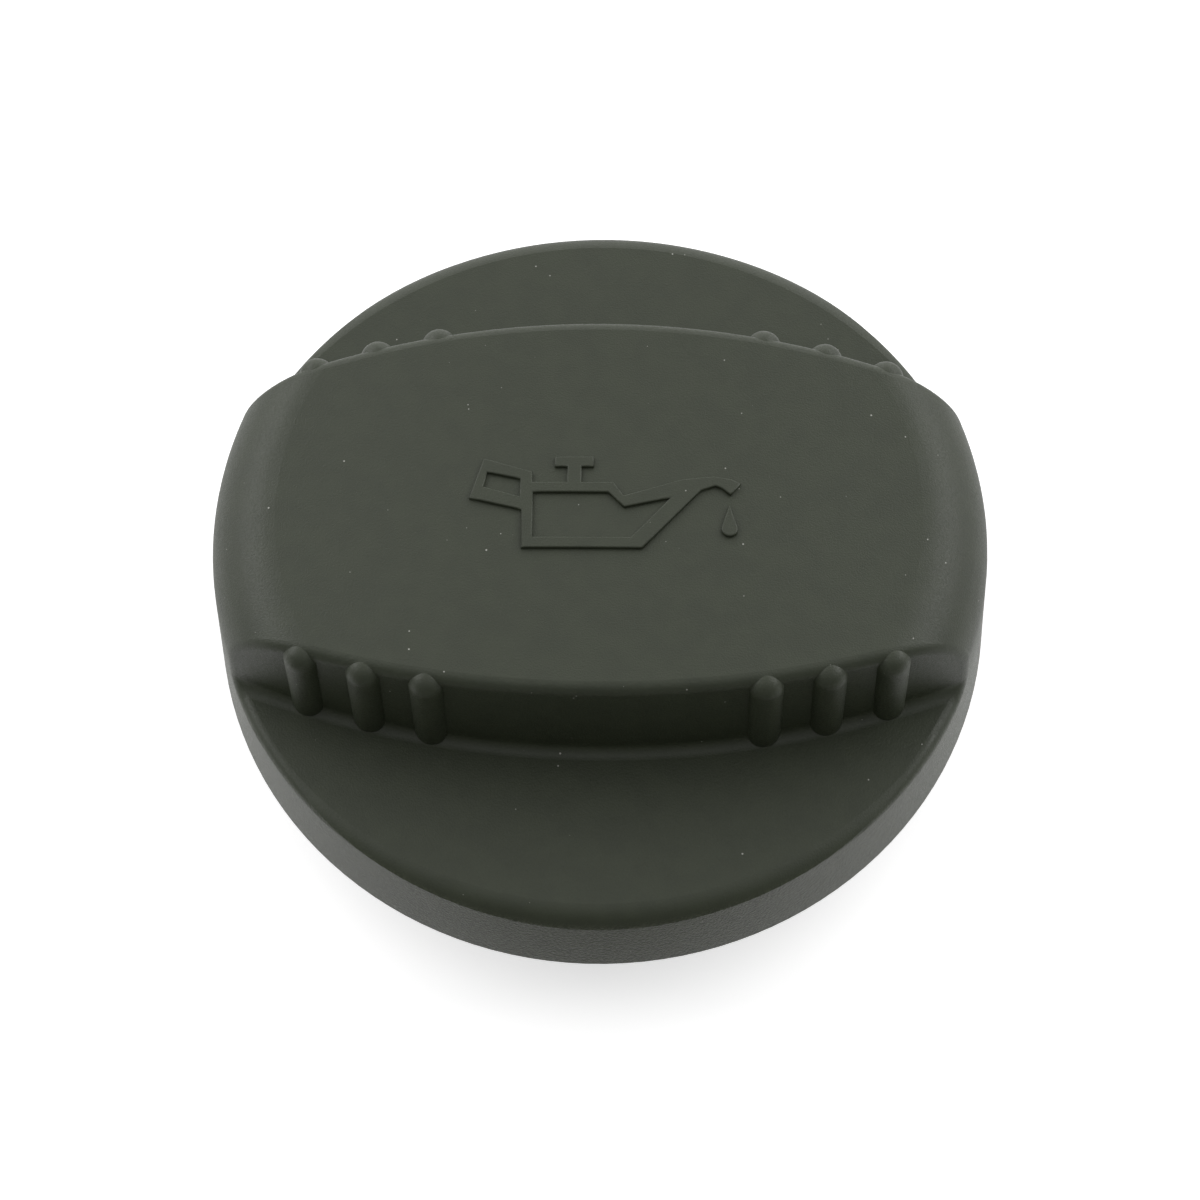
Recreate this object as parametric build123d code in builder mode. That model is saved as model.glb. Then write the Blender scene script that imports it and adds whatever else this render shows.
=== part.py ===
from build123d import *
import os
from math import radians, sin, sqrt, tan

# Engine oil filler cap, in millimetres and degrees.
# The origin is the centre of the sealing face, +Z points up through the grip, and the grip lies along X.

# Skirt and finger flats
cap_diameter = 70.0
skirt_drop = 4.0
skirt_wall = 2.4
flat_wall = 2.5
side_lean = 0.95
lip_chamfer = 0.3
rim_round = 2.2
rim_ease = 2.2
rim_lift = 0.03

# Grip
grip_width = 36.8
grip_rise = 11.8
grip_wall = 2.6
grip_roof = 3.0
bow_radius = 84.0
crown_radius = 320.0
wall_draft = 1.0
end_round = 6.7
edge_round = 1.0
foot_round = 1.1

# Corner ribs
rib_radius = 1.6
rib_stand = 0.95
rib_start = 14.5
rib_pitch = 5.45
ribs_per_corner = 3
rib_top_gap = 0.1

# Sealing ring
seal_thickness = 3.0
seal_width = 6.5
seal_clearance = 0.2
seal_chamfer = 0.5

# Bayonet stem
stem_diameter = 41.0
stem_wall = 2.5
stem_length = 13.5
stem_chamfer = 0.8
lug_count = 2
lug_reach = 3.0
lug_span = 50.0
lug_height = 3.2
lug_ramp = 1.2
lug_step = 0.8

# Cores in the ends of the grip, outside the sealing ring
end_core_gap = 0.6
end_core_roof = 4.8

# Levels and radii that follow from the sizes above
cap_radius = cap_diameter / 2
shoulder_radius = cap_radius - side_lean
skirt_inner = cap_radius - skirt_wall
stem_radius = stem_diameter / 2
bore_radius = stem_radius - stem_wall
lug_radius = stem_radius + lug_reach
seal_inner = stem_radius + seal_clearance
seal_outer = seal_inner + seal_width
grip_half = grip_width / 2
skirt_z = -skirt_drop
floor_z = seal_thickness
flat_z = floor_z + flat_wall
crown_z = flat_z + grip_rise
over = 5.0
touch = 0.001


def crown_height(x):
    """Height of the grip's top, which is crowned along its length, at x."""
    return crown_z - crown_radius + sqrt(crown_radius**2 - x**2)


def bow(x, inset=0.0):
    """Half width of the grip's foot at x, taken in by inset."""
    return grip_half - bow_radius + sqrt((bow_radius - inset) ** 2 - x**2)


os.makedirs("parts", exist_ok=True)

# Cutter that clears a finger flat beside the grip, with the hollow round at the grip's foot.
# Its section is drawn on the far side of the bow's axis, so that no seam crosses the cap.
cut_top = crown_z + over
cut_reach = bow_radius - grip_half + cap_radius + over
cut_lean = (cut_top - flat_z) * tan(radians(wall_draft))
bow_axis = Axis((0, grip_half - bow_radius, 0), (0, 0, 1))
with BuildPart() as finger_cut:
    with BuildSketch(Plane(bow_axis.position, x_dir=(0, -1, 0), z_dir=(-1, 0, 0))) as cut_section:
        with BuildLine():
            Polyline(
                (bow_radius, flat_z),
                (cut_reach, flat_z),
                (cut_reach, cut_top),
                (bow_radius - cut_lean, cut_top),
                close=True,
            )
        make_face()
        fillet(cut_section.vertices().sort_by_distance((bow_radius, flat_z))[0], foot_round)
    revolve(axis=bow_axis)

# Relief that softens the middle of each flat's rim and runs out towards the ends of the grip.
# It stands a little proud of the flat and the side, so that it crosses both.
side_slope = side_lean / (crown_z - skirt_z)
rim_foot_z = flat_z - rim_round
rim_edge = cap_radius - (rim_foot_z - skirt_z) * side_slope
rim_sweep = rim_edge + rim_ease
rim_axis = Axis((0, -rim_ease, 0), (0, 0, 1))
beside_grip = (Align.CENTER, Align.MIN, Align.CENTER)
with BuildPart() as rim_relief:
    with BuildSketch(Plane(rim_axis.position, x_dir=(0, 1, 0), z_dir=(1, 0, 0))):
        with Locations((rim_sweep - rim_round + rim_lift, rim_foot_z + rim_lift)):
            Rectangle(rim_round + over, rim_round + over, align=Align.MIN)
            Circle(rim_round, mode=Mode.SUBTRACT)
    revolve(axis=rim_axis)
    with Locations((0, grip_half, flat_z)):
        Box(2 * rim_sweep, rim_sweep, rim_sweep, align=beside_grip, mode=Mode.INTERSECT)

# Corner ribs with round heads, rooted in the wall of the flats
rib_foot_z = flat_z - flat_wall / 2
with BuildPart() as ribs:
    for column in range(ribs_per_corner):
        rib_x = rib_start + column * rib_pitch
        rib_y = bow(rib_x) + rib_stand - rib_radius
        dome_z = crown_height(rib_x) - rib_top_gap - rib_radius
        with BuildSketch(Plane.XY.offset(rib_foot_z)):
            with GridLocations(2 * rib_x, 2 * rib_y, 2, 2):
                Circle(rib_radius)
        extrude(amount=dome_z - rib_foot_z)
        with Locations((0, 0, dome_z)):
            with GridLocations(2 * rib_x, 2 * rib_y, 2, 2):
                Sphere(rib_radius)

# Bayonet lug, with a ramped upper face that draws the cap down as it turns
lug_half = lug_radius * sin(radians(lug_span / 2))
lug_foot_z = lug_step - stem_length
lug_head_z = lug_foot_z + lug_height
with BuildPart() as lug:
    with BuildSketch(Plane.YZ):
        with BuildLine():
            Polyline(
                (-lug_half, lug_foot_z),
                (lug_half, lug_foot_z),
                (lug_half, lug_head_z),
                (-lug_half, lug_head_z - lug_ramp),
                close=True,
            )
        make_face()
    extrude(amount=cap_radius)
    with BuildSketch(Plane.XY.offset(-stem_length)):
        Circle(lug_radius)
        Circle(stem_radius - stem_wall / 2, mode=Mode.SUBTRACT)
    extrude(amount=stem_length, mode=Mode.INTERSECT)

# Hollow of the stem and the grip, with a core in each end of the grip outside the sealing ring
core_bow = bow(cap_radius, grip_wall)
core_mid = bow(0, grip_wall)
with BuildSketch() as core_plan:
    with BuildLine():
        back_line = ThreePointArc((-cap_radius, core_bow), (0, core_mid), (cap_radius, core_bow))
        front_line = ThreePointArc((cap_radius, -core_bow), (0, -core_mid), (-cap_radius, -core_bow))
        Line(back_line @ 1, front_line @ 0)
        Line(front_line @ 1, back_line @ 0)
    make_face()

with BuildPart() as grip_core:
    with BuildSketch(Plane.XY.offset(floor_z)):
        add(core_plan.sketch)
        Circle(bore_radius, mode=Mode.INTERSECT)
    extrude(amount=crown_z - grip_roof - floor_z)
    with BuildSketch(Plane.XY.offset(-stem_length - over)):
        Circle(bore_radius)
    extrude(amount=stem_length + over + floor_z)
    with BuildSketch(Plane.XY.offset(floor_z - over)):
        add(core_plan.sketch)
        Circle(shoulder_radius - skirt_wall, mode=Mode.INTERSECT)
        Circle(seal_outer + end_core_gap, mode=Mode.SUBTRACT)
    extrude(amount=over + crown_height(shoulder_radius) - end_core_roof - floor_z)

# The one-piece moulding
blank_z = crown_z + over
lip = (cap_radius, skirt_z)
stem_end = (stem_radius, -stem_length)
crown_reach = cap_radius + over
with BuildPart() as cap_body:
    with BuildSketch(Plane.XZ) as section:
        with BuildLine():
            Polyline(
                (0, blank_z),
                (cap_radius - (blank_z - skirt_z) * side_slope, blank_z),
                lip,
                (skirt_inner, skirt_z),
                (skirt_inner, floor_z),
                (stem_radius, floor_z),
                stem_end,
                (0, -stem_length),
                close=True,
            )
        make_face()
        chamfer(section.vertices().sort_by_distance(lip)[0], lip_chamfer)
        chamfer(section.vertices().sort_by_distance(stem_end)[0], stem_chamfer)
    revolve(axis=Axis.Z)
    with BuildSketch(Plane.XZ):
        with BuildLine():
            crown_line = ThreePointArc(
                (-crown_reach, crown_height(crown_reach)),
                (0, crown_z),
                (crown_reach, crown_height(crown_reach)),
            )
            Polyline(
                crown_line @ 1,
                (crown_reach, -stem_length - over),
                (-crown_reach, -stem_length - over),
                crown_line @ 0,
            )
        make_face()
    extrude(amount=crown_reach, both=True, mode=Mode.INTERSECT)
    fillet(cap_body.faces().sort_by(Axis.Z)[-1].edges(), end_round)
    skin = cap_body.faces()
    for cutter in (finger_cut.part, finger_cut.part.mirror(Plane.XZ)):
        add(cutter, mode=Mode.SUBTRACT)
        rim = [edge for edge in cap_body.edges(Select.LAST) if cutter.distance_to(edge @ 0.5) < touch]
        rim = [edge for edge in rim if min(face.distance_to(edge @ 0.5) for face in skin) < touch]
        fillet(rim, edge_round)
    for relief in (rim_relief.part, rim_relief.part.mirror(Plane.XZ)):
        add(relief, mode=Mode.SUBTRACT)
    add(ribs.part)
    with PolarLocations(0, lug_count):
        add(lug.part)
    add(grip_core.part, mode=Mode.SUBTRACT)

cap_body.part.label = "cap_body"
export_step(cap_body.part, "parts/cap_body.step")

# Flat rubber ring round the stem, its lower face on the sealing plane
with BuildPart() as seal_ring:
    with BuildSketch():
        Circle(seal_outer)
        Circle(seal_inner, mode=Mode.SUBTRACT)
    extrude(amount=seal_thickness)
    chamfer(seal_ring.edges().group_by(Axis.Z)[0], seal_chamfer)

seal_ring.part.label = "seal_ring"
export_step(seal_ring.part, "parts/seal_ring.step")
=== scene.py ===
import math

import bmesh
import bpy
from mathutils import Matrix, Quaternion, Vector


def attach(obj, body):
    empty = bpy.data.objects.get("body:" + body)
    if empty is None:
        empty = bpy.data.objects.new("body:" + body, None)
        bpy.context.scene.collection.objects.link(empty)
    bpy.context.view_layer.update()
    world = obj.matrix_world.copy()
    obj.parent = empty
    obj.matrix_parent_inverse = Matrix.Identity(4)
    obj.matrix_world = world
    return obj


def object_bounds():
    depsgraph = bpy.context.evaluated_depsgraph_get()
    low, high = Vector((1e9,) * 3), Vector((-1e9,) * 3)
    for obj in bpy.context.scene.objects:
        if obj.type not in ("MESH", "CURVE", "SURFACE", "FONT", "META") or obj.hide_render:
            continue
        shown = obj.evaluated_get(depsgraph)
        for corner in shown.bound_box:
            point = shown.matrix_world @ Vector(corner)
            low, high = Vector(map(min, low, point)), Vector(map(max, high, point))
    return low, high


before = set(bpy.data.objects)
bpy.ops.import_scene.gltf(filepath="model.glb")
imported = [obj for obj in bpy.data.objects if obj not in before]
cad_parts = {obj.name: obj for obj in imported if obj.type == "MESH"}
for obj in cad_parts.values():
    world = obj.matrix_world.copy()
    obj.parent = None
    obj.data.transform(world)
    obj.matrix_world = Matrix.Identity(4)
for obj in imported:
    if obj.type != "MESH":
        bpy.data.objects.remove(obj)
cad_low, cad_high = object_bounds()

# Lengths are in millimetres, and MM turns them into metres.
MM = 0.001

# Viewpoint of the photograph
view_target = Vector((0.04, -4.09, 6.0))
view_distance = 323.83
view_elevation = math.radians(64.196)
view_azimuth = math.radians(2.455)
view_roll = math.radians(-1.824)
view_lens = 108.78
view_sensor = 36.0
view_near = 10.0

# Crown of the grip, which the raised sign follows
crown_z = cad_high.z / MM
crown_radius = 320.0

# Raised oil-can sign: its height above the crown, its root below it, and its outlines seen from above
sign_relief = 0.35
sign_root = 0.3
sign_bevel = 0.14
sign_bevel_steps = 2
sign_slice = 1.0
sign_merge = 0.001
sign_centre = Vector((0.0, 0.15))
sign_outline = [
    (-6.65, -4.8), (3.85, -4.8), (8.3, 0.2), (8.95, 0.9), (10.2, 1.35), (10.7, 1.15), (11.5, 0.5),
    (12.4, 1.6), (11.6, 2.05), (10.0, 2.3), (7.3, 1.95), (2.2, 0.3), (1.3, 1.6), (-1.5, 1.6),
    (-1.5, 3.1), (-0.45, 3.1), (-0.45, 4.1), (-3.85, 4.1), (-3.85, 3.1), (-2.75, 3.1), (-2.75, 1.6),
    (-5.8, 1.6), (-5.8, 2.6), (-10.1, 3.95), (-11.3, 0.05), (-6.7, -1.1),
]
handle_window = [(-9.75, 2.55), (-6.85, 1.9), (-6.85, 0.2), (-10.05, 1.15)]
body_window = [(-5.7, 0.6), (0.85, 0.6), (2.25, -0.83), (6.25, 0.1), (2.85, -3.75), (-5.7, -3.75)]
drop_tip = Vector((11.4, -0.45))
drop_centre = Vector((11.42, -2.8))
drop_radius = 0.72
drop_steps = 16

# Plastic: soft mottling, and a fine grain all over that varies the roughness
plastic_dark = (0.0225, 0.0285, 0.0145, 1)
plastic_light = (0.0255, 0.0320, 0.0165, 1)
plastic_roughness = (0.44, 0.56)
mottle_size = 2.5
mottle_detail = 4
mottle_range = (0.35, 0.65)
fine_grain = 0.16
fine_grain_depth = 0.03
fine_grain_detail = 2
fine_grain_range = (0.3, 0.7)

# Coarser and glossier grain with worn tips on the turned side, from one distance off the axis to another
side_grain = 0.26
side_grain_depth = 0.1
side_grain_detail = 3
side_grain_from = 34.3
side_grain_full = 34.7
side_gloss = 0.12
worn_range = (0.4, 0.66)
worn_colour = (0.046, 0.054, 0.031, 1)

# Dust: one speck in each cell of this spacing, up to this radius, with a soft edge
dust_spacing = 1.6
dust_radius = 0.11
dust_edge = (1.0, 0.5)
dust_colour = (0.34, 0.34, 0.31, 1)

# Rubber with a soft bloom
rubber_dark = (0.014, 0.014, 0.014, 1)
rubber_light = (0.024, 0.024, 0.024, 1)
rubber_roughness = (0.62, 0.78)
bloom_size = 3.0
bloom_detail = 5
bloom_range = (0.35, 0.7)

# Floor, with the white that it adds to its own colour for the camera and in the cap's reflections
floor_half = 3000.0
floor_colour = (0.85, 0.85, 0.85, 1)
floor_glow = 0.55
floor_glow_mirrored = 0.24
white = (1, 1, 1, 1)

# Low grey card on the viewer's side, folded at its foot: painted shade seen only in the cap's reflections,
# its foot a painted shadow on the mirrored floor in front of the cap
card_width = 150.0
card_height = 34.0
card_distance = 52.0
card_near = 42.0
card_lift = 0.5
# Grey of the card, painted shade that the cap mirrors
mirrored_shade_colour = (0.3, 0.3, 0.27, 1)

# Studio: bright above and behind the cap, and dim towards the viewer
studio_dim = 0.15
studio_bright = 0.78
studio_up = Vector((0.0, 0.7, 1.0)).normalized()
studio_range = (-0.5, 1.0)

# Softboxes: places, widths and heights, and powers in watts
back_softbox_place = Vector((0.0, 600.0, 220.0))
back_softbox_size = (900.0, 300.0)
back_softbox_power = 1.1
left_softbox_place = Vector((-420.0, 200.0, 300.0))
right_softbox_place = Vector((420.0, 200.0, 300.0))
side_softbox_size = (500.0, 300.0)
side_softbox_power = 1.3


def feed(tree, socket, value):
    """Link the value to the socket where it comes from another node, and set it there otherwise."""
    if isinstance(value, bpy.types.NodeSocket):
        tree.links.new(value, socket)
    else:
        socket.default_value = value


def add_node(tree, kind, inputs=None, **settings):
    """A new node of that kind, with its settings made and its inputs fed."""
    made = tree.nodes.new(kind)
    for name, value in settings.items():
        setattr(made, name, value)
    for name, value in (inputs or {}).items():
        feed(tree, made.inputs[name], value)
    return made


def new_material(name):
    """An empty node material, its node tree and the socket that takes its shader."""
    material = bpy.data.materials.new(name)
    material.use_nodes = True
    tree = material.node_tree
    tree.nodes.clear()
    return material, tree, add_node(tree, "ShaderNodeOutputMaterial").inputs["Surface"]


def noise(tree, coords, feature, detail):
    """Noise whose features are about that many millimetres across."""
    inputs = {"Vector": coords, "Scale": 1 / (feature * MM), "Detail": detail}
    return add_node(tree, "ShaderNodeTexNoise", inputs).outputs["Fac"]


def ramp(tree, value, source, target=(0.0, 1.0)):
    """The value carried smoothly from the source range into the target range."""
    low, high = source
    start, end = target
    inputs = {"Value": value, "From Min": low, "From Max": high, "To Min": start, "To Max": end}
    return add_node(tree, "ShaderNodeMapRange", inputs, interpolation_type="SMOOTHSTEP").outputs["Result"]


def blend_colour(tree, factor, first, second):
    """The first colour at factor 0 and the second at 1."""
    made = add_node(tree, "ShaderNodeMix", data_type="RGBA")
    sockets = {socket.identifier: socket for socket in [*made.inputs, *made.outputs]}
    feed(tree, sockets["Factor_Float"], factor)
    feed(tree, sockets["A_Color"], first)
    feed(tree, sockets["B_Color"], second)
    return sockets["Result_Color"]


def math_node(tree, operation, first, second):
    """The result of one arithmetic operation."""
    return add_node(tree, "ShaderNodeMath", {0: first, 1: second}, operation=operation).outputs[0]


def bump(tree, height, depth, inputs=None):
    """Normals of a surface that rises by that many millimetres from height 0 to height 1."""
    wanted = {"Height": height, "Strength": 1, "Distance": depth * MM}
    wanted.update(inputs or {})
    return add_node(tree, "ShaderNodeBump", wanted).outputs["Normal"]


def moulded_plastic():
    """Dark matte moulding with a fine grain, a coarser grain on its turned side and a little dust."""
    material, tree, surface = new_material("cap_plastic_moulded")
    coords = add_node(tree, "ShaderNodeTexCoord").outputs["Object"]
    flat = add_node(tree, "ShaderNodeVectorMath", {0: coords, 1: (1, 1, 0)}, operation="MULTIPLY")
    radius = add_node(tree, "ShaderNodeVectorMath", {0: flat.outputs[0]}, operation="LENGTH").outputs["Value"]
    side = ramp(tree, radius, (side_grain_from * MM, side_grain_full * MM))

    mottle = ramp(tree, noise(tree, coords, mottle_size, mottle_detail), mottle_range)
    colour = blend_colour(tree, mottle, plastic_dark, plastic_light)
    coarse = noise(tree, coords, side_grain, side_grain_detail)
    tips = math_node(tree, "MULTIPLY", ramp(tree, coarse, worn_range), side)
    colour = blend_colour(tree, tips, colour, worn_colour)
    cells = add_node(tree, "ShaderNodeTexVoronoi", {"Vector": coords, "Scale": 1 / (dust_spacing * MM)})
    chance = add_node(tree, "ShaderNodeSeparateColor", {"Color": cells.outputs["Color"]}).outputs["Red"]
    speck_reach = math_node(tree, "MULTIPLY", chance, dust_radius / dust_spacing)
    speck_place = math_node(tree, "DIVIDE", cells.outputs["Distance"], speck_reach)
    speck = math_node(tree, "MULTIPLY", ramp(tree, speck_place, dust_edge), chance)
    colour = blend_colour(tree, speck, colour, dust_colour)

    fine = noise(tree, coords, fine_grain, fine_grain_detail)
    roughness = ramp(tree, fine, fine_grain_range, plastic_roughness)
    roughness = math_node(tree, "SUBTRACT", roughness, math_node(tree, "MULTIPLY", side, side_gloss))
    normals = bump(tree, fine, fine_grain_depth)
    normals = bump(tree, coarse, side_grain_depth, {"Strength": side, "Normal": normals})
    shader_inputs = {"Base Color": colour, "Roughness": roughness, "Normal": normals}
    feed(tree, surface, add_node(tree, "ShaderNodeBsdfPrincipled", shader_inputs).outputs["BSDF"])
    return material


def moulded_rubber():
    """Matte black rubber with a soft bloom."""
    material, tree, surface = new_material("seal_rubber_moulded")
    coords = add_node(tree, "ShaderNodeTexCoord").outputs["Object"]
    bloom = ramp(tree, noise(tree, coords, bloom_size, bloom_detail), bloom_range)
    colour = blend_colour(tree, bloom, rubber_dark, rubber_light)
    roughness = ramp(tree, bloom, (0.0, 1.0), rubber_roughness)
    normals = bump(tree, noise(tree, coords, fine_grain, fine_grain_detail), fine_grain_depth)
    shader_inputs = {"Base Color": colour, "Roughness": roughness, "Normal": normals}
    feed(tree, surface, add_node(tree, "ShaderNodeBsdfPrincipled", shader_inputs).outputs["BSDF"])
    return material


def drop_outline():
    """A drop: a round belly, with two straight sides that meet at the tip."""
    reach = drop_tip - drop_centre
    towards = math.atan2(reach.y, reach.x)
    opening = math.acos(drop_radius / reach.length)
    sweep = 2 * (math.pi - opening)
    points = [drop_tip]
    for step in range(drop_steps + 1):
        angle = towards + opening + sweep * step / drop_steps
        points.append(drop_centre + drop_radius * Vector((math.cos(angle), math.sin(angle))))
    return points


def flat_sign():
    """The sign's mesh before it is bent: its outlines with the windows left open, and round edges."""
    curve = bpy.data.curves.new("oil_sign_outline", "CURVE")
    curve.dimensions = "2D"
    curve.fill_mode = "BOTH"
    curve.extrude = (sign_relief + sign_root) / 2 * MM - sign_bevel * MM
    curve.bevel_depth = sign_bevel * MM
    curve.bevel_resolution = sign_bevel_steps
    curve.offset = -sign_bevel * MM
    for outline in (sign_outline, handle_window, body_window, drop_outline()):
        spline = curve.splines.new("POLY")
        spline.points.add(len(outline) - 1)
        for point, (x, y) in zip(spline.points, outline):
            point.co = ((x + sign_centre.x) * MM, (y + sign_centre.y) * MM, 0, 1)
        spline.use_cyclic_u = True
    outline_object = bpy.data.objects.new("oil_sign_outline", curve)
    mesh = bpy.data.meshes.new_from_object(outline_object)
    bpy.data.objects.remove(outline_object)
    return mesh


def bend_to_crown(mesh):
    """Slice the flat sign along its length, and lay it on the crown with its root below."""
    form = bmesh.new()
    form.from_mesh(mesh)
    bmesh.ops.remove_doubles(form, verts=form.verts, dist=sign_merge * MM)
    start = min(vertex.co.x for vertex in form.verts)
    end = max(vertex.co.x for vertex in form.verts)
    for index in range(1, int((end - start) / (sign_slice * MM)) + 1):
        everything = form.verts[:] + form.edges[:] + form.faces[:]
        at = (start + index * sign_slice * MM, 0, 0)
        bmesh.ops.bisect_plane(form, geom=everything, plane_co=at, plane_no=(1, 0, 0))
    middle = crown_z + (sign_relief - sign_root) / 2
    for vertex in form.verts:
        drop = crown_radius - math.sqrt(crown_radius**2 - (vertex.co.x / MM) ** 2)
        vertex.co.z += (middle - drop) * MM
    bmesh.ops.recalc_face_normals(form, faces=form.faces)
    form.to_mesh(mesh)
    form.free()


def raised_sign(material):
    """The oil-can sign, raised from the crown of the grip and rooted a little below it."""
    mesh = flat_sign()
    bend_to_crown(mesh)
    mesh.materials.clear()
    mesh.materials.append(material)
    sign = bpy.data.objects.new("oil_sign", mesh)
    bpy.context.scene.collection.objects.link(sign)
    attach(sign, "root")


def place_camera():
    """The camera at the photograph's viewpoint."""
    level = math.cos(view_elevation)
    aside = math.sin(view_azimuth) * level
    forward = math.cos(view_azimuth) * level
    back = Vector((aside, -forward, math.sin(view_elevation)))
    camera = bpy.data.objects.new("camera", bpy.data.cameras.new("camera"))
    camera.data.lens = view_lens
    camera.data.sensor_width = view_sensor
    camera.data.clip_start = view_near * MM
    camera.rotation_mode = "QUATERNION"
    camera.location = (view_target + back * view_distance) * MM
    camera.rotation_quaternion = (-back).to_track_quat("-Z", "Y") @ Quaternion((0, 0, 1), view_roll)
    bpy.context.scene.collection.objects.link(camera)
    bpy.context.scene.camera = camera


def studio_piece(name, material, corners, faces):
    """A piece of the studio round the cap, from corners in metres and the faces between them."""
    mesh = bpy.data.meshes.new(name)
    mesh.from_pydata(corners, [], faces)
    mesh.materials.append(material)
    piece = bpy.data.objects.new(name, mesh)
    bpy.context.scene.collection.objects.link(piece)
    return piece


def white_floor():
    """A plain white floor under the cap, which shows white to the camera and keeps the shadow."""
    material, tree, surface = new_material("floor_white")
    path = add_node(tree, "ShaderNodeLightPath")
    mirrored = math_node(tree, "MAXIMUM", path.outputs["Is Glossy Ray"], path.outputs["Is Transmission Ray"])
    mirrored = math_node(tree, "MULTIPLY", mirrored, floor_glow_mirrored)
    seen = math_node(tree, "MULTIPLY", path.outputs["Is Camera Ray"], floor_glow)
    strength = math_node(tree, "MAXIMUM", seen, mirrored)
    paint = add_node(tree, "ShaderNodeBsdfDiffuse", {"Color": floor_colour})
    glow = add_node(tree, "ShaderNodeEmission", {"Color": white, "Strength": strength})
    both = add_node(tree, "ShaderNodeAddShader", {0: paint.outputs[0], 1: glow.outputs[0]})
    feed(tree, surface, both.outputs[0])
    half = floor_half * MM
    corners = [(-half, -half, 0), (half, -half, 0), (half, half, 0), (-half, half, 0)]
    floor = studio_piece("floor", material, corners, [(0, 1, 2, 3)])
    floor.location.z = cad_low.z


def dark_front():
    """A folded grey card on the viewer's side, seen only in reflections: painted shade in what the cap
    mirrors, with its foot as a painted shadow on the mirrored floor, and nothing else.
    """
    material, tree, surface = new_material("mirrored_shade_grey")
    feed(tree, surface, add_node(tree, "ShaderNodeBsdfDiffuse", {"Color": mirrored_shade_colour}).outputs[0])
    half = card_width / 2 * MM
    near = -card_near * MM
    away = -card_distance * MM
    low = cad_low.z + card_lift * MM
    high = cad_low.z + card_height * MM
    corners = [(-half, near, low), (half, near, low), (half, away, low), (-half, away, low)]
    corners += [(half, away, high), (-half, away, high)]
    card = studio_piece("dark_card", material, corners, [(0, 1, 2, 3), (3, 2, 4, 5)])
    # Hidden from the camera, from diffuse light and from shadows, so it is painted shade in reflections only
    card.visible_camera = False
    card.visible_diffuse = False
    card.visible_shadow = False


def white_surroundings():
    """A white studio, bright above and behind the cap and dim towards the viewer."""
    world = bpy.data.worlds.new("studio")
    world.use_nodes = True
    tree = world.node_tree
    background = tree.nodes["Background"]
    direction = add_node(tree, "ShaderNodeTexCoord").outputs["Generated"]
    height = add_node(tree, "ShaderNodeVectorMath", {0: direction, 1: studio_up}, operation="DOT_PRODUCT")
    strength = ramp(tree, height.outputs["Value"], studio_range, (studio_dim, studio_bright))
    feed(tree, background.inputs["Color"], white)
    feed(tree, background.inputs["Strength"], strength)
    bpy.context.scene.world = world


def softbox(name, place, size, power):
    """A rectangular area light that faces the cap."""
    width, height = size
    light = bpy.data.lights.new(name, "AREA")
    light.shape = "RECTANGLE"
    light.size = width * MM
    light.size_y = height * MM
    light.energy = power
    lamp = bpy.data.objects.new(name, light)
    lamp.location = place * MM
    lamp.rotation_mode = "QUATERNION"
    lamp.rotation_quaternion = (-place).to_track_quat("-Z", "Y")
    bpy.context.scene.collection.objects.link(lamp)


plastic = moulded_plastic()
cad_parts["cap_body"].data.materials[0] = plastic
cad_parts["seal_ring"].data.materials[0] = moulded_rubber()
raised_sign(plastic)
place_camera()
white_floor()
white_surroundings()
dark_front()
softbox("back_softbox", back_softbox_place, back_softbox_size, back_softbox_power)
softbox("left_softbox", left_softbox_place, side_softbox_size, side_softbox_power)
softbox("right_softbox", right_softbox_place, side_softbox_size, side_softbox_power)

bpy.context.scene.view_settings.view_transform = "Standard"
